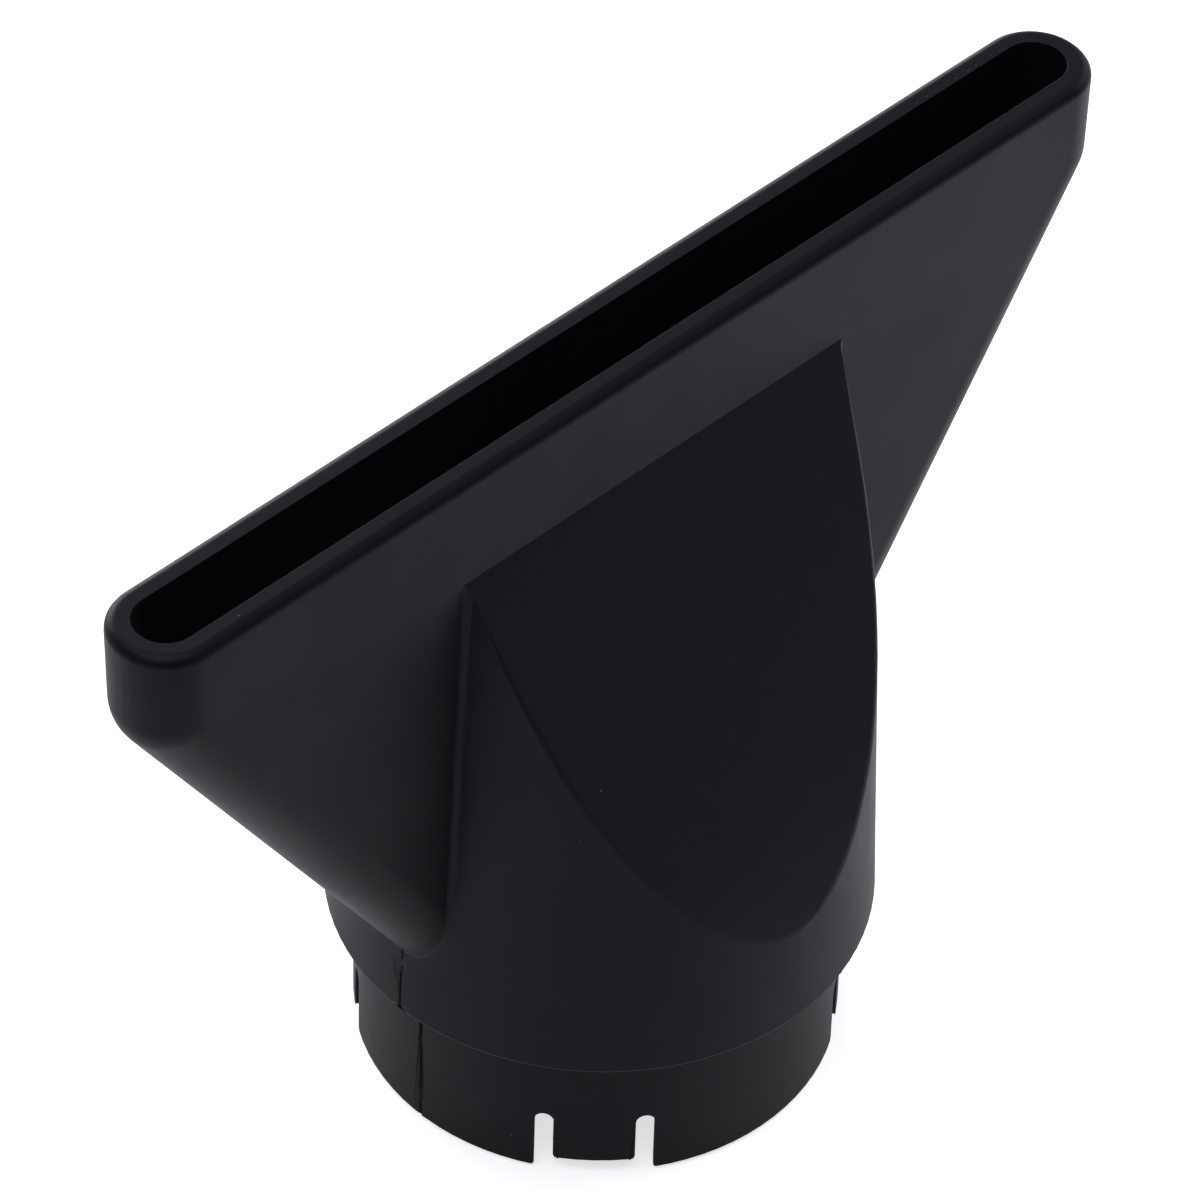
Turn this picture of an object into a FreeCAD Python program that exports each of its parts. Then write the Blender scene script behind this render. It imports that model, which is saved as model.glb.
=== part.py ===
"""Hair dryer concentrator nozzle: one moulded piece, drawn as an outer form with a core taken out of it.

Millimetres. +Z runs up the collar's axis to the mouth, X along the slot and Y across it.
The origin is the centre of the collar's rim, on which the nozzle stands.
"""
import FreeCAD
import Part
import Sketcher
import math
import os

Vector = FreeCAD.Vector
UP = Vector(0, 0, 1)

# Driving sizes: alias, value, what it measures
SIZES = [
    ("collar_radius", 22.0, "outside radius of the lower collar, which goes into the dryer"),
    ("collar_height", 15.9, "rim to the step under the body"),
    ("collar_wall", 1.8, "wall of the lower collar"),
    ("lead_in", 0.4, "bevel round the rim's outer edge"),
    ("step_depth", 2.7, "how far the body stands out from the collar at the step"),
    ("body_draft", 2.1, "degrees that the body narrows upwards"),
    ("step_round", 0.35, "rounding of the step's outer edge"),
    ("wall", 2.2, "wall of the body, the fan and the mouth"),
    ("mouth_height", 80.9, "rim to the face of the mouth"),
    ("mouth_half_length", 56.25, "half the mouth's length outside"),
    ("fan_half_depth", 5.1, "half the fan's thickness outside"),
    ("fan_edge_round", 5.0, "rounding of the fan's edges, almost a full half circle"),
    ("fan_foot_inset", 5.254, "how far inside the body the fan's lower edges meet the step"),
    ("neck_length", 10.0, "mouth face to the corner where the fan starts to narrow"),
    ("neck_draft", 1.5, "degrees that the ends of the neck open upwards"),
    ("shoulder_radius", 5.5, "rounding of that corner in the front view"),
    ("mouth_round", 1.05, "rounding of the mouth's outer edge"),
    ("facet_height", 69.5, "rim to the top edge of the flat facets"),
    ("facet_angle", 24.9, "degrees that the facets lean from upright"),
    ("facet_toe_radius", 120.0, "curve that turns the facet upright at its lower tip"),
    ("facet_toe_offset", 6.2, "how far outside the body that curve comes upright"),
    ("junction_round", 0.8, "hollow fillet between the body and the fan"),
    ("tab_count", 4, "spring tabs round the collar"),
    ("tab_angle", 45.0, "degrees from the mouth's plane to the first tab"),
    ("tab_width", 7.3, "width of a tab between its slits"),
    ("tab_setback", 1.7, "how far a tab ends above the rim"),
    ("tab_corner", 0.5, "rounding of a tab's corners"),
    ("slit_width", 1.65, "width of the slits beside a tab"),
    ("slit_height", 7.2, "rim to the rounded top of a slit"),
    ("overrun", 3.0, "how far a cutting form runs past the face it opens"),
]

# Sizes worked out from the driving ones, as expressions
BORE_RADIUS = "Sizes.collar_radius - Sizes.collar_wall"
RIM_RADIUS = "Sizes.collar_radius - Sizes.lead_in"
BODY_RADIUS = "Sizes.collar_radius + Sizes.step_depth"
BODY_TOP = "Sizes.facet_height + Sizes.overrun"
BODY_TOP_RADIUS = (
    f"{BODY_RADIUS}"
    " - (Sizes.facet_height + Sizes.overrun - Sizes.collar_height) * tan(Sizes.body_draft * 1 deg)"
)
FOOT_HALF = f"{BODY_RADIUS} - Sizes.fan_foot_inset"
CORNER_HALF = "Sizes.mouth_half_length - Sizes.neck_length * tan(Sizes.neck_draft * 1 deg)"
FAN_LEAN = (
    f"atan(({CORNER_HALF} - ({FOOT_HALF}))"
    " / (Sizes.mouth_height - Sizes.neck_length - Sizes.collar_height))"
)
CORE_STEP = "Sizes.collar_height + Sizes.wall"
CORE_TOP = "Sizes.mouth_height + Sizes.overrun"
CORE_TOP_HALF = (
    "Sizes.mouth_half_length + Sizes.overrun * tan(Sizes.neck_draft * 1 deg)"
    " - Sizes.wall / cos(Sizes.neck_draft * 1 deg)"
)
CORE_FOOT_HALF = f"{FOOT_HALF} - Sizes.wall / cos({FAN_LEAN})"
CORE_HALF_DEPTH = "Sizes.fan_half_depth - Sizes.wall"
CORE_RADIUS = (
    f"{BODY_RADIUS} - Sizes.wall / cos(Sizes.body_draft * 1 deg)"
    " - Sizes.wall * tan(Sizes.body_draft * 1 deg)"
)
CORE_TOP_RADIUS = f"{BODY_TOP_RADIUS} - Sizes.wall / cos(Sizes.body_draft * 1 deg)"
CORE_FACET_HEIGHT = "Sizes.facet_height - Sizes.wall * tan(Sizes.facet_angle * 0.5 deg)"
FACET_TOE = f"{BODY_RADIUS} + Sizes.facet_toe_offset"

doc = FreeCAD.newDocument("nozzle")
sheet = doc.addObject("Spreadsheet::Sheet", "Sizes")
for row, (alias, number, meaning) in enumerate(SIZES, start=1):
    sheet.set(f"A{row}", meaning)
    sheet.set(f"B{row}", str(number))
    sheet.setAlias(f"B{row}", alias)
doc.recompute()


def value(expression):
    """The number that an expression of the sheet gives now, for a sketch's first layout."""
    result = sheet.evalExpression(expression)
    return float(getattr(result, "Value", result))


def angle(alias):
    return math.radians(value(f"Sizes.{alias}"))


def origin_feature(body, role):
    return next(feature for feature in body.Origin.OriginFeatures if feature.Role == role)


def new_sketch(body, name, role):
    sketch = body.newObject("Sketcher::SketchObject", name)
    sketch.AttachmentSupport = (origin_feature(body, role), [""])
    sketch.MapMode = "FlatFace"
    return sketch


def bind(sketch, kind, *parts):
    """Adds a sizing constraint. Its last part is the expression that drives it."""
    expression = parts[-1]
    number = value(expression)
    if kind == "Angle":
        number = math.radians(number)
    index = sketch.addConstraint(Sketcher.Constraint(kind, *parts[:-1], number))
    sketch.setExpression(f"Constraints[{index}]", expression)


def place(sketch, geometry, end, across, up):
    """Holds one end of a line or arc at positive distances from the sketch's origin, None being on an axis."""
    if across is None:
        sketch.addConstraint(Sketcher.Constraint("PointOnObject", geometry, end, -2))
    else:
        bind(sketch, "DistanceX", -1, 1, geometry, end, across)
    if up is None:
        sketch.addConstraint(Sketcher.Constraint("PointOnObject", geometry, end, -1))
    else:
        bind(sketch, "DistanceY", -1, 1, geometry, end, up)


def draw_polygon(sketch, corners):
    """Closed outline of straight lines, with both places of every corner driven by the sheet."""
    spots = [Vector(value(x) if x else 0, value(y) if y else 0, 0) for x, y in corners]
    for start, end in zip(spots, spots[1:] + spots[:1]):
        sketch.addGeometry(Part.LineSegment(start, end), False)
    for index, (across, up) in enumerate(corners):
        previous = (index - 1) % len(corners)
        sketch.addConstraint(Sketcher.Constraint("Coincident", previous, 2, index, 1))
        place(sketch, index, 1, across, up)


def draw_fan(sketch, half_length, top, foot_half, shoulder_radius):
    """Front view of the fan: straight neck, rounded shoulders and edges that lean in to the collar."""
    lean = math.radians(value(FAN_LEAN))
    draft = angle("neck_draft")
    radius = value(shoulder_radius)
    top_spot = Vector(value(half_length), value(top), 0)
    foot_spot = Vector(value(foot_half), value("Sizes.collar_height"), 0)
    edge_way = Vector(math.sin(lean), math.cos(lean), 0)
    neck_way = Vector(math.sin(draft), math.cos(draft), 0)
    reach = (top_spot - foot_spot).cross(neck_way).z / edge_way.cross(neck_way).z
    setback = radius * math.tan((lean - draft) / 2)
    edge_end = foot_spot + edge_way * (reach - setback)
    neck_end = foot_spot + edge_way * reach + neck_way * setback
    centre = neck_end + Vector(-math.cos(draft), math.sin(draft), 0) * radius

    def mirrored(spot):
        return Vector(-spot.x, spot.y, 0)

    left_circle = Part.Circle(mirrored(centre), UP, radius)
    sketch.addGeometry(Part.LineSegment(mirrored(top_spot), top_spot), False)
    sketch.addGeometry(Part.LineSegment(neck_end, top_spot), False)
    sketch.addGeometry(Part.ArcOfCircle(Part.Circle(centre, UP, radius), -lean, -draft), False)
    sketch.addGeometry(Part.LineSegment(foot_spot, edge_end), False)
    sketch.addGeometry(Part.LineSegment(mirrored(foot_spot), foot_spot), False)
    sketch.addGeometry(Part.LineSegment(mirrored(foot_spot), mirrored(edge_end)), False)
    sketch.addGeometry(Part.ArcOfCircle(left_circle, math.pi + draft, math.pi + lean), False)
    sketch.addGeometry(Part.LineSegment(mirrored(neck_end), mirrored(top_spot)), False)
    for joined in ((0, 2, 1, 2), (3, 1, 4, 2), (4, 1, 5, 1), (7, 2, 0, 1)):
        sketch.addConstraint(Sketcher.Constraint("Coincident", *joined))
    for smooth in ((2, 2, 1, 1), (2, 1, 3, 2), (5, 2, 6, 2), (6, 1, 7, 1)):
        sketch.addConstraint(Sketcher.Constraint("Tangent", *smooth))
    for alike in ((0, 1, 0, 2), (4, 1, 4, 2), (2, 3, 6, 3)):
        sketch.addConstraint(Sketcher.Constraint("Symmetric", *alike, -2))
    sketch.addConstraint(Sketcher.Constraint("Equal", 2, 6))
    place(sketch, 0, 2, half_length, top)
    place(sketch, 4, 2, foot_half, "Sizes.collar_height")
    bind(sketch, "Angle", 1, "90 deg - Sizes.neck_draft * 1 deg")
    bind(sketch, "Angle", 3, f"90 deg - {FAN_LEAN}")
    bind(sketch, "Radius", 2, shoulder_radius)


def draw_facet(sketch, half_depth, height, toe, toe_radius):
    """Side view of what a facet takes away: a slanted flat that an arc turns upright at its lower tip."""
    lean = angle("facet_angle")
    radius = value(toe_radius)
    crown = Vector(value(half_depth), value(height), 0)
    centre_x = value(toe) - radius
    tangent_x = centre_x + radius * math.cos(lean)
    tangent = Vector(tangent_x, crown.y - (tangent_x - crown.x) / math.tan(lean), 0)
    centre = Vector(centre_x, tangent.y - radius * math.sin(lean), 0)
    toe_spot = centre + Vector(radius, 0, 0)
    outer_x = value(f"{toe} + Sizes.overrun")
    top = value(BODY_TOP) + value("Sizes.overrun")
    sketch.addGeometry(Part.LineSegment(crown, tangent), False)
    sketch.addGeometry(Part.ArcOfCircle(Part.Circle(centre, UP, radius), 0, lean), False)
    sketch.addGeometry(Part.LineSegment(toe_spot, Vector(outer_x, toe_spot.y, 0)), False)
    sketch.addGeometry(Part.LineSegment(Vector(outer_x, toe_spot.y, 0), Vector(outer_x, top, 0)), False)
    sketch.addGeometry(Part.LineSegment(Vector(outer_x, top, 0), Vector(crown.x, top, 0)), False)
    sketch.addGeometry(Part.LineSegment(Vector(crown.x, top, 0), crown), False)
    for joined in ((1, 1, 2, 1), (2, 2, 3, 1), (3, 2, 4, 1), (4, 2, 5, 1), (5, 2, 0, 1)):
        sketch.addConstraint(Sketcher.Constraint("Coincident", *joined))
    sketch.addConstraint(Sketcher.Constraint("Tangent", 0, 2, 1, 2))
    sketch.addConstraint(Sketcher.Constraint("Horizontal", 1, 1, 1, 3))
    sketch.addConstraint(Sketcher.Constraint("Horizontal", 2))
    sketch.addConstraint(Sketcher.Constraint("Vertical", 3))
    sketch.addConstraint(Sketcher.Constraint("Horizontal", 4))
    sketch.addConstraint(Sketcher.Constraint("Vertical", 5))
    place(sketch, 0, 1, half_depth, height)
    bind(sketch, "Angle", 0, "Sizes.facet_angle * 1 deg - 90 deg")
    bind(sketch, "Radius", 1, toe_radius)
    bind(sketch, "DistanceX", -1, 1, 1, 1, toe)
    place(sketch, 4, 1, f"{toe} + Sizes.overrun", f"{BODY_TOP} + Sizes.overrun")


def draw_slits(sketch):
    """Two round-topped slits joined under the tab between them, which ends short of the rim."""
    inner = value("Sizes.tab_width") / 2
    radius = value("Sizes.slit_width") / 2
    corner = value("Sizes.tab_corner")
    shoulder = value("Sizes.slit_height") - radius
    setback = value("Sizes.tab_setback")
    outer = inner + 2 * radius
    below = -value("Sizes.overrun")

    def line(x0, y0, x1, y1):
        sketch.addGeometry(Part.LineSegment(Vector(x0, y0, 0), Vector(x1, y1, 0)), False)

    def arc(x, y, size, start, end):
        sketch.addGeometry(Part.ArcOfCircle(Part.Circle(Vector(x, y, 0), UP, size), start, end), False)

    line(-outer, below, outer, below)
    line(outer, below, outer, shoulder)
    arc(inner + radius, shoulder, radius, 0, math.pi)
    line(inner, shoulder, inner, setback + corner)
    arc(inner - corner, setback + corner, corner, -math.pi / 2, 0)
    line(inner - corner, setback, corner - inner, setback)
    arc(corner - inner, setback + corner, corner, math.pi, 1.5 * math.pi)
    line(-inner, setback + corner, -inner, shoulder)
    arc(-inner - radius, shoulder, radius, 0, math.pi)
    line(-outer, shoulder, -outer, below)
    for joined in ((0, 2, 1, 1), (9, 2, 0, 1)):
        sketch.addConstraint(Sketcher.Constraint("Coincident", *joined))
    smooth_ends = ((1, 2, 2, 1), (2, 2, 3, 1), (3, 2, 4, 2), (4, 1, 5, 1))
    mirrored_ends = ((5, 2, 6, 2), (6, 1, 7, 1), (7, 2, 8, 1), (8, 2, 9, 1))
    for smooth in smooth_ends + mirrored_ends:
        sketch.addConstraint(Sketcher.Constraint("Tangent", *smooth))
    for upright in (1, 3, 7, 9):
        sketch.addConstraint(Sketcher.Constraint("Vertical", upright))
    for alike in ((0, 1, 0, 2), (2, 3, 8, 3), (5, 1, 5, 2)):
        sketch.addConstraint(Sketcher.Constraint("Symmetric", *alike, -2))
    bind(sketch, "Radius", 2, "Sizes.slit_width / 2")
    bind(sketch, "Radius", 4, "Sizes.tab_corner")
    place(sketch, 2, 3, "(Sizes.tab_width + Sizes.slit_width) / 2", "Sizes.slit_height - Sizes.slit_width / 2")
    bind(sketch, "DistanceY", -1, 1, 5, 1, "Sizes.tab_setback")
    bind(sketch, "DistanceY", 0, 2, -1, 1, "Sizes.overrun")


def add_fan(body, half_length, top, foot_half, half_depth, shoulder_radius, edge_round):
    """Flat fan, with the edges that run down both ends rounded."""
    sketch = new_sketch(body, f"{body.Name}_fan_outline", "XZ_Plane")
    draw_fan(sketch, half_length, top, foot_half, shoulder_radius)
    pad = body.newObject("PartDesign::Pad", f"{body.Name}_fan")
    pad.Profile = sketch
    pad.SideType = "Symmetric"
    pad.setExpression("Length", f"2 * ({half_depth})")
    doc.recompute()
    face = value(half_depth)
    ends = []
    for number, edge in enumerate(pad.Shape.Edges, start=1):
        box = edge.BoundBox
        in_face = box.YLength < 0.001 and abs(abs(box.Center.y) - face) < 0.001
        if in_face and box.ZLength > 0.001:
            ends.append(f"Edge{number}")
    rounding = body.newObject("PartDesign::Fillet", f"{body.Name}_fan_edges")
    rounding.Base = (pad, ends)
    rounding.setExpression("Radius", edge_round)
    return rounding


def add_turned_body(body, corners):
    sketch = new_sketch(body, f"{body.Name}_section", "XZ_Plane")
    draw_polygon(sketch, corners)
    turned = body.newObject("PartDesign::Revolution", f"{body.Name}_turned")
    turned.Profile = sketch
    turned.ReferenceAxis = (sketch, ["V_Axis"])
    turned.Angle = 360
    doc.recompute()
    return turned


def add_facets(body, half_depth, height, toe, toe_radius):
    """The flat on the back of the body, and its mirror image on the front."""
    sketch = new_sketch(body, f"{body.Name}_facet_profile", "YZ_Plane")
    draw_facet(sketch, half_depth, height, toe, toe_radius)
    facet = body.newObject("PartDesign::Pocket", f"{body.Name}_facet")
    facet.Profile = sketch
    facet.SideType = "Symmetric"
    facet.setExpression("Length", f"4 * ({BODY_RADIUS})")
    mirror = body.newObject("PartDesign::Mirrored", f"{body.Name}_facets")
    mirror.Originals = [facet]
    mirror.MirrorPlane = (origin_feature(body, "XZ_Plane"), [""])
    body.Tip = mirror
    doc.recompute()
    return mirror


def make_outer_form():
    body = doc.addObject("PartDesign::Body", "outer_form")
    add_fan(
        body,
        half_length="Sizes.mouth_half_length",
        top="Sizes.mouth_height",
        foot_half=FOOT_HALF,
        half_depth="Sizes.fan_half_depth",
        shoulder_radius="Sizes.shoulder_radius",
        edge_round="Sizes.fan_edge_round",
    )
    turned = add_turned_body(body, [
        (None, None),
        (RIM_RADIUS, None),
        ("Sizes.collar_radius", "Sizes.lead_in"),
        ("Sizes.collar_radius", "Sizes.collar_height"),
        (BODY_RADIUS, "Sizes.collar_height"),
        (BODY_TOP_RADIUS, BODY_TOP),
        (None, BODY_TOP),
    ])
    add_junction_fillet(body, turned)
    facets = add_facets(
        body,
        half_depth="Sizes.fan_half_depth",
        height="Sizes.facet_height",
        toe=FACET_TOE,
        toe_radius="Sizes.facet_toe_radius",
    )
    mouth_edge = add_edge_round(
        body, facets, "mouth_edge", "Sizes.mouth_height", "Sizes.fan_half_depth", "Sizes.mouth_round"
    )
    add_edge_round(body, mouth_edge, "step_edge", "Sizes.collar_height", BODY_RADIUS, "Sizes.step_round")
    add_slits(body)
    return body


def add_junction_fillet(body, turned):
    """Hollow fillet where the fan runs out of the body, on both faces and under both ends."""
    low = value("Sizes.collar_height") + 0.5
    high = value(BODY_TOP) - 0.5
    depth = value("Sizes.fan_half_depth")
    narrow = value(BODY_TOP_RADIUS) - depth
    seams = []
    for number, edge in enumerate(turned.Shape.Edges, start=1):
        box = edge.BoundBox
        rises = box.ZLength > 0.5 and low < box.Center.z < high
        at_side = min(abs(box.XMin), abs(box.XMax)) > narrow and abs(box.Center.x) < value(BODY_RADIUS)
        if rises and at_side and max(abs(box.YMin), abs(box.YMax)) < depth + 0.001:
            seams.append(f"Edge{number}")
    fillet = body.newObject("PartDesign::Fillet", "junction")
    fillet.Base = (turned, seams)
    fillet.setExpression("Radius", "Sizes.junction_round")
    doc.recompute()
    return fillet


def add_edge_round(body, base, name, height, reach, radius):
    """Rounds the level edges at one height whose outline reaches out to the given distance."""
    found = []
    for number, edge in enumerate(base.Shape.Edges, start=1):
        box = edge.BoundBox
        level = box.ZLength < 0.001 and abs(box.Center.z - value(height)) < 0.001
        if level and max(box.XMax, -box.XMin, box.YMax, -box.YMin) > value(reach) - 0.01:
            found.append(f"Edge{number}")
    rounding = body.newObject("PartDesign::Fillet", name)
    rounding.Base = (base, found)
    rounding.setExpression("Radius", radius)
    doc.recompute()
    return rounding


def add_slits(body):
    """Slits beside each spring tab, repeated round the collar."""
    sketch = new_sketch(body, "slit_outline", "XZ_Plane")
    sketch.AttachmentOffset = FreeCAD.Placement(Vector(), FreeCAD.Rotation(Vector(0, 1, 0), 45))
    sketch.setExpression("AttachmentOffset.Rotation.Angle", "Sizes.tab_angle * 1 deg")
    draw_slits(sketch)
    slits = body.newObject("PartDesign::Pocket", "slits")
    slits.Profile = sketch
    slits.setExpression("Length", "Sizes.collar_radius + Sizes.overrun")
    ring = body.newObject("PartDesign::PolarPattern", "slit_ring")
    ring.Originals = [slits]
    ring.Axis = (origin_feature(body, "Z_Axis"), [""])
    ring.Angle = 360
    ring.setExpression("Occurrences", "Sizes.tab_count")
    body.Tip = ring
    doc.recompute()


def make_core():
    """Everything that is air inside the nozzle, from below the rim to above the mouth."""
    body = doc.addObject("PartDesign::Body", "core")
    add_fan(
        body,
        half_length=CORE_TOP_HALF,
        top=CORE_TOP,
        foot_half=CORE_FOOT_HALF,
        half_depth=CORE_HALF_DEPTH,
        shoulder_radius="Sizes.shoulder_radius - Sizes.wall",
        edge_round="Sizes.fan_edge_round - Sizes.wall",
    )
    add_turned_body(body, [
        (None, "-Sizes.overrun"),
        (BORE_RADIUS, "-Sizes.overrun"),
        (BORE_RADIUS, CORE_STEP),
        (CORE_RADIUS, CORE_STEP),
        (CORE_TOP_RADIUS, BODY_TOP),
        (None, BODY_TOP),
    ])
    add_facets(
        body,
        half_depth=CORE_HALF_DEPTH,
        height=CORE_FACET_HEIGHT,
        toe=f"{FACET_TOE} - Sizes.wall",
        toe_radius="Sizes.facet_toe_radius - Sizes.wall",
    )
    return body


outer_form = make_outer_form()
core = make_core()
nozzle = doc.addObject("Part::Cut", "nozzle")
nozzle.Label = "nozzle"
nozzle.Base = outer_form
nozzle.Tool = core
doc.recompute()

for thing in doc.Objects:
    if "Invalid" in thing.State or "Error" in thing.State:
        raise RuntimeError(f"{thing.Label} did not build: {thing.State}")
if nozzle.Shape.isNull() or not nozzle.Shape.isValid() or len(nozzle.Shape.Solids) != 1:
    raise RuntimeError("the nozzle is not one sound solid")
os.makedirs("parts", exist_ok=True)
nozzle.Shape.exportStep(f"parts/{nozzle.Label}.step")
box = nozzle.Shape.optimalBoundingBox()
print(f"nozzle {box.XLength:.2f} x {box.YLength:.2f} x {box.ZLength:.2f} mm, {nozzle.Shape.Volume:.0f} mm3")
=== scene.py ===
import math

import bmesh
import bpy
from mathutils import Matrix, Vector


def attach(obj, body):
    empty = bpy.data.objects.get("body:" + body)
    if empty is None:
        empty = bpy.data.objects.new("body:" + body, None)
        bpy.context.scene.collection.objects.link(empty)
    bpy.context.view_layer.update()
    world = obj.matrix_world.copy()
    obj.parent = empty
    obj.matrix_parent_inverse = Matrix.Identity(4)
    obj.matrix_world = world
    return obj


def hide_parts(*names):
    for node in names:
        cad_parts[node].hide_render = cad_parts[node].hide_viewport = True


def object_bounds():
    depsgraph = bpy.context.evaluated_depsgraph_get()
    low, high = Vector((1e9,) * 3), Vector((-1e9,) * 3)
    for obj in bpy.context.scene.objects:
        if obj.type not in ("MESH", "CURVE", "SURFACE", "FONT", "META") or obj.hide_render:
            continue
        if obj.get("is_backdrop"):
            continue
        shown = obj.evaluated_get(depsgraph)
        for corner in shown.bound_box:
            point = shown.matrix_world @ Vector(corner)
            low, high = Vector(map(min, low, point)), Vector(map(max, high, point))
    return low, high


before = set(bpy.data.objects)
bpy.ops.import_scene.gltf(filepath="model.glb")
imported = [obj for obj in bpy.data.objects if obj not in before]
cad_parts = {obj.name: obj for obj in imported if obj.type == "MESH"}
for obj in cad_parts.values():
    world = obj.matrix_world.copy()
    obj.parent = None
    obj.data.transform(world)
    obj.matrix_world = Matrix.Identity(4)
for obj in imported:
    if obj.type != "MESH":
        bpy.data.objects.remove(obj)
cad_low, cad_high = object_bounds()

# %% [markdown]
# # A hair dryer concentrator nozzle
#
# The real nozzle is one piece of black plastic, moulded in one shot. A round slotted collar
# pushes into the dryer, a faceted body stands on the collar, and a flat hollow fan widens from
# the body to a long narrow mouth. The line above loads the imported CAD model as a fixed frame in
# metres, with the collar's rim on the floor and the mouth on top. This lesson keeps that shape,
# gives it soft shading and a finish, and sets up the studio and the camera.

MM = 0.001
size_mm = [(high - low) / MM for low, high in zip(cad_low, cad_high)]
print("CAD box in mm:", [round(side, 2) for side in size_mm])

# %% [markdown]
# ## The moulding
#
# A CAD node arrives as loose triangles, each with its own corners, so light breaks at every
# triangle. It could be shaded as it is, but a copy whose corners are merged can be shaded
# smoothly across its curves and stay crisp at its real edges. The copy takes the node's place.

# %% Copy the node and merge its corners
MERGE_DISTANCE = 0.002 * MM
FLAT_ANGLE = math.radians(0.05)

bpy.ops.object.select_all(action="DESELECT")
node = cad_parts["nozzle"]
node.select_set(True)
bpy.context.view_layer.objects.active = node
bpy.ops.object.duplicate()
moulding = bpy.context.view_layer.objects.active
moulding.name = "nozzle_moulding"
bpy.ops.object.mode_set(mode="EDIT")
bpy.ops.mesh.select_all(action="SELECT")
bpy.ops.mesh.customdata_custom_splitnormals_clear()
bpy.ops.mesh.remove_doubles(threshold=MERGE_DISTANCE)
bpy.ops.mesh.dissolve_limited(angle_limit=FLAT_ANGLE)
bpy.ops.object.mode_set(mode="OBJECT")
print("moulding:", len(moulding.data.vertices), "corners,", len(moulding.data.polygons), "faces")

# %% [markdown]
# ## Pits in the rim
#
# On the back of the rim, near its right end, the plastic did not quite fill the mould and left a row
# of small pits. Dark spots in the finish would do from afar, but a real pit shades itself. Small
# balls are set along the rim, joined, and cut out of the moulding with a Boolean modifier.

# %% Cut a row of pits
# The first line gives the pits' places along the rim in millimetres, measured from its middle.
PITS_MM = (39.8, 41.1, 42.2, 44.7, 46.3, 47.3, 49.1, 50.1)
PIT_ROW = 3.5 * MM
PIT_BALL = 0.33 * MM
PIT_DEPTH = 0.12 * MM

bpy.ops.object.select_all(action="DESELECT")
balls = []
for along in PITS_MM:
    centre = (along * MM, PIT_ROW, cad_high[2] + PIT_BALL - PIT_DEPTH)
    bpy.ops.mesh.primitive_ico_sphere_add(subdivisions=2, radius=PIT_BALL, location=centre)
    balls.append(bpy.context.active_object)
for ball in balls:
    ball.select_set(True)
bpy.ops.object.join()
cutter = bpy.context.active_object
bpy.ops.object.select_all(action="DESELECT")
moulding.select_set(True)
bpy.context.view_layer.objects.active = moulding
pits = moulding.modifiers.new("pits", "BOOLEAN")
pits.object = cutter
bpy.ops.object.modifier_apply(modifier=pits.name)
bpy.data.objects.remove(cutter)
print("moulding with pits:", len(moulding.data.polygons), "faces")

# %% [markdown]
# ## Soft edges
#
# No edge of a moulding is a knife edge: polishing the mould leaves a radius of a few tenths of a
# millimetre, and that radius is what draws a thin line of light or shade along each edge. A
# shader could fake it, but a real bevel also shows in the outline and in the mesh.

# %% Find the facets and choose their edges
FACET_TOP = 70.0 * MM
FACET_SIDEWAYS = 0.01
LEAST_LEAN = 0.2
MOST_LEAN = 0.45
FILLET_END = 5.6 * MM


def on_facet(face):
    """True for the two leaning facets and their curved toes, which have no sideways tilt."""
    middle = face.calc_center_median()
    leans = abs(face.normal.x) < FACET_SIDEWAYS and LEAST_LEAN < face.normal.z < MOST_LEAN
    return leans and middle.z < FACET_TOP and middle.y * face.normal.y > 0


def select_facet_edges(mesh, convex):
    """Selects the rim of the facets where it stands out, or where it is a crease."""
    bpy.ops.mesh.select_mode(type="EDGE")
    bpy.ops.mesh.select_all(action="DESELECT")
    mesh.normal_update()
    for edge in mesh.edges:
        on_rim = sum(on_facet(face) for face in edge.link_faces) == 1
        clear = min(abs(corner.co.y) for corner in edge.verts) > FILLET_END
        stands_out = edge.calc_face_angle_signed() > 0 and clear
        if on_rim and stands_out == convex:
            edge.select = True
    bmesh.update_edit_mesh(moulding.data)
    return sum(edge.select for edge in mesh.edges)


# %% Crease the top of each facet and round its curved sides
FACET_ROUND = 0.4 * MM
ROUND_PROFILE = 0.5


def round_edges(width, segments):
    """Rounds the selected edges, and lets the faces beside each round lead its shading."""
    bpy.ops.mesh.bevel(offset=width, segments=segments, profile=ROUND_PROFILE, clamp_overlap=False)
    bpy.ops.mesh.mod_weighted_strength(set=True, face_strength="WEAK")


bpy.ops.object.mode_set(mode="EDIT")
mesh = bmesh.from_edit_mesh(moulding.data)
print("creased edges:", select_facet_edges(mesh, convex=False))
bpy.ops.mesh.mark_sharp()
print("rounded edges:", select_facet_edges(mesh, convex=True))
sharp_rim = [corner.co.copy() for corner in mesh.verts if corner.select]
round_edges(FACET_ROUND, segments=3)

# %% Narrow each round towards its upper end
# Each corner moves back towards the sharp rim, and the more so the nearer it is to the fan's fillet.
TAPER = 2.5 * MM
TAPER_TIP = 0.3

mesh = bmesh.from_edit_mesh(moulding.data)
rounded = [corner for corner in mesh.verts if corner.select]
for corner in rounded:
    place = min(sharp_rim, key=lambda point: (point - corner.co).length)
    width = (abs(place.y) - FILLET_END) / TAPER
    corner.co = place.lerp(corner.co, min(1.0, max(TAPER_TIP, width)))
bmesh.update_edit_mesh(moulding.data)
bpy.ops.object.mode_set(mode="OBJECT")
print("corners on the rounds:", len(rounded))

# %% Round the slits' corners, the collar's edges and the inside of the mouth
SHARP_ANGLE = math.radians(60)
CROSSING = 0.4
RIM_TOP = 0.45 * MM
SLIT_TOP = 8.0 * MM
MOUTH_LOW = cad_high[2] - 0.1 * MM
SLIT_CORNER = 0.3 * MM
COLLAR_EDGE = 0.1 * MM
MOUTH_EDGE = 0.06 * MM


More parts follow.
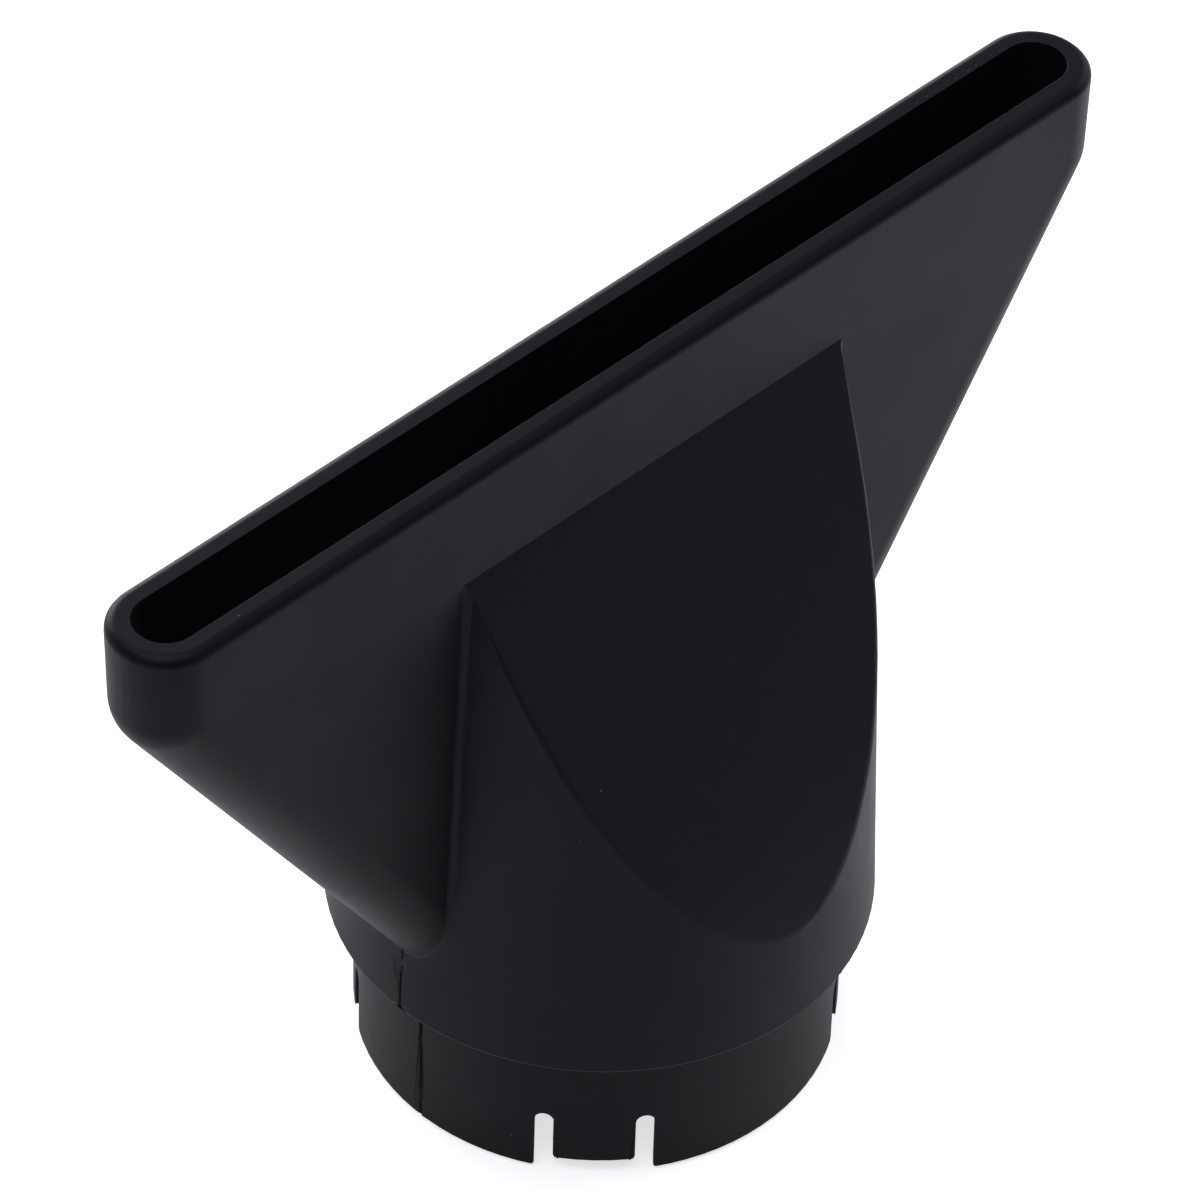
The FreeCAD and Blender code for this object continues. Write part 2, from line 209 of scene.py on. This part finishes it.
def select_sharp_edges(mesh, low, high, across_only=False):
    """Selects the sharp outer edges between two heights, or only those that cross the wall."""
    bpy.ops.mesh.select_all(action="DESELECT")
    mesh.normal_update()
    for edge in mesh.edges:
        middle = (edge.verts[0].co + edge.verts[1].co) / 2
        along = (edge.verts[1].co - edge.verts[0].co).normalized()
        round_way = Vector((-middle.y, middle.x, 0)).normalized()
        crosses = abs(along.dot(round_way)) < CROSSING or not across_only
        inside = all(low <= corner.co.z <= high for corner in edge.verts)
        if inside and crosses and edge.calc_face_angle_signed() > SHARP_ANGLE:
            edge.select = True
    bmesh.update_edit_mesh(moulding.data)
    return sum(edge.select for edge in mesh.edges)


bpy.ops.object.mode_set(mode="EDIT")
bpy.ops.mesh.select_mode(type="EDGE")
mesh = bmesh.from_edit_mesh(moulding.data)
print("slit corners:", select_sharp_edges(mesh, cad_low[2], RIM_TOP, across_only=True))
round_edges(SLIT_CORNER, segments=3)
print("collar edges:", select_sharp_edges(mesh, cad_low[2], SLIT_TOP))
round_edges(COLLAR_EDGE, segments=2)
print("mouth edges:", select_sharp_edges(mesh, MOUTH_LOW, cad_high[2]))
round_edges(MOUTH_EDGE, segments=3)
bpy.ops.object.mode_set(mode="OBJECT")

# %% [markdown]
# ## The parting line
#
# The two halves of the mould meet in the plane of the mouth. Where they met, a thin ragged line
# runs up both sides of the collar and of the body, to the foot of the fan. It could be painted,
# but a real groove also shades itself and stays with the mesh. A plane cuts the surface there, the
# cut is widened to a strip, and the middle of the strip is pushed in.

# %% Cut the line
PARTING_TOP = 22.4 * MM
PARTING_REACH = 21.5 * MM
PARTING_FACING = 0.9
LINE_CUTS = 15
LINE_HALF_WIDTH = 0.16 * MM

bpy.ops.object.mode_set(mode="EDIT")
bpy.ops.mesh.select_mode(type="FACE")
bpy.ops.mesh.select_all(action="DESELECT")
mesh = bmesh.from_edit_mesh(moulding.data)
for face in mesh.faces:
    middle = face.calc_center_median()
    at_end = abs(middle.x) > PARTING_REACH and abs(face.normal.x) > PARTING_FACING
    face.select = at_end and middle.x * face.normal.x > 0 and middle.z < PARTING_TOP
bmesh.update_edit_mesh(moulding.data)
print("faces beside the line:", sum(face.select for face in mesh.faces))
bpy.ops.mesh.select_mode(type="EDGE")
bpy.ops.mesh.bisect(plane_co=(0, 0, 0), plane_no=(0, 1, 0))
print("cut edges:", sum(edge.select for edge in mesh.edges))
bpy.ops.mesh.subdivide(number_cuts=LINE_CUTS)
bpy.ops.mesh.bevel(offset=LINE_HALF_WIDTH, segments=2, profile=ROUND_PROFILE, clamp_overlap=False)

# %% Push the line in and make it ragged
ON_PLANE = 0.001 * MM
LINE_DEPTH = 0.25 * MM
LINE_WIDENS = 1.5
LINE_WIDE_BELOW = 7.0 * MM
LINE_RAGGED = 0.1 * MM
RAGGED_SEED = 7

bpy.ops.mesh.select_mode(type="VERT")
mesh = bmesh.from_edit_mesh(moulding.data)
strip = [corner for corner in mesh.verts if corner.select]
for side in (-1, 1):
    bpy.ops.mesh.select_all(action="DESELECT")
    for corner in strip:
        corner.select = abs(corner.co.y) < ON_PLANE and corner.co.x * side > 0
    bmesh.update_edit_mesh(moulding.data)
    print("pushed in:", sum(corner.select for corner in strip))
    bpy.ops.transform.translate(value=(-side * LINE_DEPTH, 0, 0))
for corner in strip:
    corner.select = corner.co.z < LINE_WIDE_BELOW
bmesh.update_edit_mesh(moulding.data)
bpy.ops.transform.resize(value=(1, LINE_WIDENS, 1), center_override=(0, 0, 0))
for corner in strip:
    corner.select = True
bmesh.update_edit_mesh(moulding.data)
bpy.ops.transform.vertex_random(offset=LINE_RAGGED, seed=RAGGED_SEED)
bpy.ops.object.mode_set(mode="OBJECT")

# %% [markdown]
# ## Smooth shading
#
# A smooth moulding has no visible triangles, yet its flat faces stay flat right up to their edges.
# Smooth shading alone would bend the light on a flat face near each round. Weighted normals let the
# large flat faces lead and the narrow rounds follow, and the collar gets the normals of a true
# cylinder, because the cuts of its slits leave strips of uneven width there.

# %% Let the flat faces lead the shading
# The pits cut the flat of the mouth into smaller faces, so those lead whatever their size.
FLAT_AREA = 60 * MM * MM
SQUARE_ON = 0.99999

bpy.ops.object.mode_set(mode="EDIT")
bpy.ops.mesh.select_mode(type="FACE")
bpy.ops.mesh.select_all(action="DESELECT")
mesh = bmesh.from_edit_mesh(moulding.data)
for face in mesh.faces:
    is_square = max(abs(part) for part in face.normal) > SQUARE_ON
    on_mouth = is_square and face.calc_center_median().z > MOUTH_LOW
    is_large = face.calc_area() > FLAT_AREA
    face.select = on_mouth or (is_large and (is_square or on_facet(face)))
bmesh.update_edit_mesh(moulding.data)
print("flat faces:", sum(face.select for face in mesh.faces))
bpy.ops.mesh.mod_weighted_strength(set=True, face_strength="STRONG")
bpy.ops.object.mode_set(mode="OBJECT")

# %% Shade the curves smoothly
SMOOTH_ANGLE = math.radians(30)
bpy.ops.object.shade_smooth_by_angle(angle=SMOOTH_ANGLE, keep_sharp_edges=True)
even = moulding.modifiers.new("flat_faces_lead", "WEIGHTED_NORMAL")
even.mode = "FACE_AREA_WITH_ANGLE"
even.keep_sharp = True
even.use_face_influence = True
bpy.ops.object.modifier_apply(modifier=even.name)
print("moulding:", len(moulding.data.vertices), "corners,", len(moulding.data.polygons), "faces")

# %% Shade the collar as a true cylinder
COLLAR_RADIUS = 22.0 * MM
COLLAR_TOP = 15.8 * MM
COLLAR_SLACK = 0.3 * MM
COLLAR_FACING = 0.998


def on_collar(face):
    """True for the faces of the collar's outer wall."""
    outwards = Vector((face.center.x, face.center.y, 0))
    at_wall = abs(outwards.length - COLLAR_RADIUS) < COLLAR_SLACK and face.center.z < COLLAR_TOP
    return at_wall and face.normal.dot(outwards.normalized()) > COLLAR_FACING


shell = moulding.data
normals = [corner.vector.copy() for corner in shell.corner_normals]
collar_faces = [face for face in shell.polygons if on_collar(face)]
for face in collar_faces:
    for number in face.loop_indices:
        place = shell.vertices[shell.loops[number].vertex_index].co
        normals[number] = Vector((place.x, place.y, 0)).normalized()
shell.normals_split_custom_set(normals)
print("collar faces:", len(collar_faces))

# %% Let the copy stand for the node
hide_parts("nozzle")
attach(moulding, "root")
print(moulding.name, "stands for", node.name)

# %% [markdown]
# ## Helpers for the finishes
#
# Colours are written as sRGB hex values, as a colour picker shows them, and one function turns
# them to the linear values that Blender calculates with. A second one adds a node, sets it and
# links it, which keeps each finish short enough to read.

# %% Colour and node helpers
def linear(hex_colour):
    """The linear RGBA value of an sRGB hex colour, by the curve of the sRGB standard."""
    colour = []
    for place in (1, 3, 5):
        part = int(hex_colour[place:place + 2], 16) / 255
        colour.append(part / 12.92 if part <= 0.04045 else ((part + 0.055) / 1.055) ** 2.4)
    return colour + [1.0]


def add_node(tree, kind, inputs=None, **settings):
    """Adds a node with its settings, and sets or links each of its inputs."""
    made = tree.nodes.new(kind)
    for name, setting in settings.items():
        setattr(made, name, setting)
    for name, given in (inputs or {}).items():
        if isinstance(given, bpy.types.NodeSocket):
            tree.links.new(given, made.inputs[name])
        else:
            made.inputs[name].default_value = given
    return made


def new_material(name):
    """An empty node material."""
    material = bpy.data.materials.new(name)
    material.use_nodes = True
    material.node_tree.nodes.clear()
    return material


# %% [markdown]
# ## Black moulded plastic
#
# The nozzle is ABS coloured right through with carbon black. The steel of its mould was spark
# eroded, so the surface has a fine even grain that spreads every reflection, and the melt cooled
# unevenly, so its gloss is a little cloudy. A single grey would show none of that. Three sizes of
# noise give it here: the grain as bump, the cloud as roughness, and a faint change of colour.

# %% The plastic's grain and cloud
GRAIN = 0.3 * MM  # real grain is near 0.05 mm, drawn coarser so that it shows in a render
GRAIN_DEPTH = 0.02 * MM
GRAIN_STRENGTH = 0.3
CLOUD = 9.0 * MM
FLECK = 1.6 * MM

plastic = new_material("abs_black_spark_eroded")
tree = plastic.node_tree
spot = add_node(tree, "ShaderNodeTexCoord").outputs["Object"]
grain = add_node(tree, "ShaderNodeTexNoise", {"Vector": spot, "Scale": 1 / GRAIN, "Detail": 2.0})
cloud = add_node(tree, "ShaderNodeTexNoise", {"Vector": spot, "Scale": 1 / CLOUD, "Detail": 3.0})
fleck = add_node(tree, "ShaderNodeTexNoise", {"Vector": spot, "Scale": 1 / FLECK, "Detail": 4.0})
bump = add_node(
    tree,
    "ShaderNodeBump",
    {"Height": grain.outputs["Fac"], "Strength": GRAIN_STRENGTH, "Distance": GRAIN_DEPTH},
)
print("nodes for grain, cloud and fleck:", len(tree.nodes))

# %% The plastic's colour and roughness
# The black is a little blue, and it is a touch paler where the fleck noise is high.
BLACK_DEEP = "#0f0f13"
BLACK_PALE = "#131318"
CLOUD_LOW = 0.3
CLOUD_HIGH = 0.7
ROUGHNESS_LOW = 0.42
ROUGHNESS_HIGH = 0.48

tone = add_node(
    tree,
    "ShaderNodeMix",
    {"Factor": fleck.outputs["Fac"], "A": linear(BLACK_DEEP), "B": linear(BLACK_PALE)},
    data_type="RGBA",
)
gloss = add_node(
    tree,
    "ShaderNodeMapRange",
    {
        "Value": cloud.outputs["Fac"],
        "From Min": CLOUD_LOW,
        "From Max": CLOUD_HIGH,
        "To Min": ROUGHNESS_LOW,
        "To Max": ROUGHNESS_HIGH,
    },
)
print("roughness:", ROUGHNESS_LOW, "to", ROUGHNESS_HIGH)

# %% A few specks of dust
DUST_SPACING = 5.0 * MM
DUST_RADIUS = 0.09 * MM
DUST_GREY = "#5c5c60"

dust = add_node(tree, "ShaderNodeTexVoronoi", {"Vector": spot, "Scale": 1 / DUST_SPACING})
near = add_node(
    tree,
    "ShaderNodeMath",
    {0: dust.outputs["Distance"], 1: DUST_RADIUS / DUST_SPACING},
    operation="LESS_THAN",
)
dusted = add_node(
    tree,
    "ShaderNodeMix",
    {"Factor": near.outputs[0], "A": tone.outputs["Result"], "B": linear(DUST_GREY)},
    data_type="RGBA",
)
print("specks about", round(DUST_SPACING / MM, 1), "mm apart")

# %% The plastic's shader
# The grain scatters most of what would be mirrored, so the gloss is broad and soft and its level is low.
ABS_IOR = 1.5
GLOSS_LEVEL = 0.115
GLOSS_TINT = "#f4f4ff"

shader = add_node(
    tree,
    "ShaderNodeBsdfPrincipled",
    {
        "Base Color": dusted.outputs["Result"],
        "Roughness": gloss.outputs["Result"],
        "IOR": ABS_IOR,
        "Specular IOR Level": GLOSS_LEVEL,
        "Specular Tint": linear(GLOSS_TINT),
        "Normal": bump.outputs["Normal"],
    },
)
add_node(tree, "ShaderNodeOutputMaterial", {"Surface": shader.outputs["BSDF"]})
moulding.data.materials.clear()
moulding.data.materials.append(plastic)
print("finish:", plastic.name)

# %% [markdown]
# ## The paper floor
#
# A product of this kind is photographed on a sheet of white paper that turns up behind it. A plain
# plane would do from above, but from a low angle the camera would look past its end. So the floor is
# a wide disc whose border is extruded upwards into a low wall, far from the nozzle.

# %% The sheet of paper
FLOOR_RADIUS = 6.0
FLOOR_SIDES = 96
WALL_HEIGHT = 1.2
FLOOR_GAP = 0.02 * MM

bpy.ops.object.select_all(action="DESELECT")
bpy.ops.mesh.primitive_circle_add(vertices=FLOOR_SIDES, radius=FLOOR_RADIUS, fill_type="NGON")
floor = bpy.context.active_object
floor.name = "studio_floor"
floor.location.z = cad_low[2] - FLOOR_GAP
bpy.ops.object.transform_apply(location=True)
bpy.ops.object.mode_set(mode="EDIT")
bpy.ops.mesh.select_mode(type="EDGE")
bpy.ops.mesh.select_all(action="SELECT")
bpy.ops.mesh.region_to_loop()
bpy.ops.mesh.extrude_edges_move(TRANSFORM_OT_translate={"value": (0, 0, WALL_HEIGHT)})
bpy.ops.object.mode_set(mode="OBJECT")
floor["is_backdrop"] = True
print("floor:", len(floor.data.polygons), "faces")

# %% [markdown]
# ## White paper
#
# Matt paper scatters light evenly, so it shows the soft shadow of the nozzle and no reflection. To
# burn it out to white with lamps alone would flood the nozzle as well. Instead the paper adds a
# little light of its own, only where the camera, a reflection or a view through glass looks at it,
# and the Light Path node tells those rays from the ones that light the scene.

# %% The paper's own finish
PAPER_WHITE = "#e4e4e4"
PAPER_GLOW = 0.36
CAMERA_GLOW = 0.34

paper = new_material("white_paper_matt")
tree = paper.node_tree
path = add_node(tree, "ShaderNodeLightPath").outputs
camera_ray = path["Is Camera Ray"]
mirrored = add_node(tree, "ShaderNodeMath", {0: camera_ray, 1: path["Is Glossy Ray"]}, operation="MAXIMUM")
looked_at = add_node(
    tree,
    "ShaderNodeMath",
    {0: mirrored.outputs[0], 1: path["Is Transmission Ray"]},
    operation="MAXIMUM",
)
extra = add_node(tree, "ShaderNodeMath", {0: camera_ray, 1: CAMERA_GLOW}, operation="MULTIPLY")
lift = add_node(
    tree,
    "ShaderNodeMath",
    {0: looked_at.outputs[0], 1: PAPER_GLOW, 2: extra.outputs[0]},
    operation="MULTIPLY_ADD",
)
matt = add_node(tree, "ShaderNodeBsdfDiffuse", {"Color": linear(PAPER_WHITE)})
glow = add_node(tree, "ShaderNodeEmission", {"Strength": lift.outputs[0]})
both = add_node(tree, "ShaderNodeAddShader", {0: matt.outputs["BSDF"], 1: glow.outputs["Emission"]})
add_node(tree, "ShaderNodeOutputMaterial", {"Surface": both.outputs["Shader"]})
floor.data.materials.append(paper)
print("finish:", paper.name)

# %% [markdown]
# ## Soft studio light
#
# A black object shows little of its own colour, so its form is drawn by what it mirrors. Four
# softboxes do that: a large one above, a low one behind that lights the edges, a smaller one on the
# right, and a small one close over the paper, which brightens what the fan's right end mirrors. A
# sun lamp would give hard lines, and an even white sky would make every face the same grey. The
# room around is almost dark, so the faces that look up stay black.

# %% The dim room
ROOM_WHITE = "#ffffff"
ROOM_LIGHT = 0.04

room = bpy.data.worlds.new("dim_studio")
bpy.context.scene.world = room
room.use_nodes = True
tree = room.node_tree
tree.nodes.clear()
dim = add_node(tree, "ShaderNodeBackground", {"Color": linear(ROOM_WHITE), "Strength": ROOM_LIGHT})
add_node(tree, "ShaderNodeOutputWorld", {"Surface": dim.outputs["Background"]})
print("room:", room.name, ROOM_LIGHT)

# %% The softboxes: place and aim in metres, width, height and watts
NOZZLE = Vector((0, 0, 40 * MM))
PAPER_SPOT = Vector((0.16, -0.055, 0.0))
DAYLIGHT = "#f4f5ff"
SOFTBOXES = {
    "softbox_top": ((-0.25, -0.06, 1.0), NOZZLE, 0.9, 0.9, 7.8),
    "softbox_back_low": ((0.3, 0.97, 0.32), NOZZLE, 0.9, 0.6, 9.8),
    "softbox_right": ((0.87, -0.1, 0.45), NOZZLE, 0.9, 0.6, 3.3),
    "softbox_paper": ((0.16, -0.055, 0.08), PAPER_SPOT, 0.1, 0.1, 0.07),
}

for name, (place, aim, width, height, watts) in SOFTBOXES.items():
    bpy.ops.object.select_all(action="DESELECT")
    bpy.ops.object.light_add(type="AREA", location=place)
    softbox = bpy.context.active_object
    softbox.name = name
    softbox.data.shape = "RECTANGLE"
    softbox.data.size = width
    softbox.data.size_y = height
    softbox.data.energy = watts
    softbox.data.color = linear(DAYLIGHT)[:3]
    softbox.rotation_euler = (aim - softbox.location).to_track_quat("-Z", "Y").to_euler()
    softbox.visible_camera = False
    print(name, watts, "W")

# %% [markdown]
# ## Black cards
#
# On set, black cards beside the camera keep the far paper out of the reflections, which darkens the
# two facets and draws the thin dark line along their edges. Darker plastic would darken everything.
# The cards are plain planes covered in felt, hidden from the camera, and they cast no shadow.

# %% The cards: direction, distance, width and height in metres
FELT_BLACK = "#080808"
CARDS = {
    "black_card_right": (Vector((0.52, -0.854, 0.0)), 1.3, 2.4, 1.8),
    "black_card_left": (Vector((-0.6, -0.8, 0.0)), 0.32, 0.4, 0.4),
}

felt = new_material("black_felt")
tree = felt.node_tree
soot = add_node(tree, "ShaderNodeBsdfDiffuse", {"Color": linear(FELT_BLACK)})
add_node(tree, "ShaderNodeOutputMaterial", {"Surface": soot.outputs["BSDF"]})
for name, (way, distance, width, height) in CARDS.items():
    bpy.ops.object.select_all(action="DESELECT")
    bpy.ops.mesh.primitive_plane_add(size=1.0)
    card = bpy.context.active_object
    card.name = name
    card.scale = (width, height, 1.0)
    card.location = way.normalized() * distance + Vector((0, 0, height / 2))
    card.rotation_euler = way.to_track_quat("Z", "Y").to_euler()
    bpy.ops.object.transform_apply(location=True, rotation=True, scale=True)
    card.visible_camera = False
    card.visible_shadow = False
    card.data.materials.append(felt)
    card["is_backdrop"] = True
    print(name, width, "by", height, "m")

# %% [markdown]
# ## The camera
#
# The photograph looks down on the nozzle from its front left corner, through a long lens that
# hardly narrows what is further off. A wide lens from close by would show the same faces, but the
# mouth would not keep its straight even taper. The camera stands on a line given by its turn and
# its height in degrees, leans a little, and is shifted sideways to centre the nozzle.

# %% The camera's place and lens
AZIMUTH = math.radians(-45.842)
ELEVATION = math.radians(43.59)
ROLL = math.radians(1.84)
LENS_MM = 242.98
SENSOR_MM = 36.0
DISTANCE = 709.86 * MM
TARGET = Vector((0.0, 0.0, 38.26 * MM))
OFF_RIGHT = 0.445 * MM
OFF_UP = -8.173 * MM

level_back = Vector((math.sin(AZIMUTH), -math.cos(AZIMUTH), 0))
back = level_back * math.cos(ELEVATION) + Vector((0, 0, math.sin(ELEVATION)))
level_right = (-back).cross(Vector((0, 0, 1))).normalized()
level_up = level_right.cross(-back)
right = math.cos(ROLL) * level_right + math.sin(ROLL) * level_up
up = math.cos(ROLL) * level_up - math.sin(ROLL) * level_right
stand = TARGET + back * DISTANCE - right * OFF_RIGHT - up * OFF_UP

bpy.ops.object.camera_add()
camera = bpy.context.active_object
camera.name = "photo_camera"
camera.data.lens = LENS_MM
camera.data.sensor_width = SENSOR_MM
camera.matrix_world = Matrix.Translation(stand) @ Matrix((right, up, back)).transposed().to_4x4()
bpy.context.scene.camera = camera
bpy.context.scene.view_settings.view_transform = "Standard"
print("camera stands", round(DISTANCE, 3), "m from the nozzle")

# %% [markdown]
# ## Sizes
#
# The finished nozzle must fill the same box as the CAD model, so both boxes are printed,
# the CAD box near the start and the shown box by the last line.

# %% Write the sizes and finish
shown_low, shown_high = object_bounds()
shown_mm = [(high - low) / MM for low, high in zip(shown_low, shown_high)]
print("visual box in mm:", [round(side, 2) for side in shown_mm])
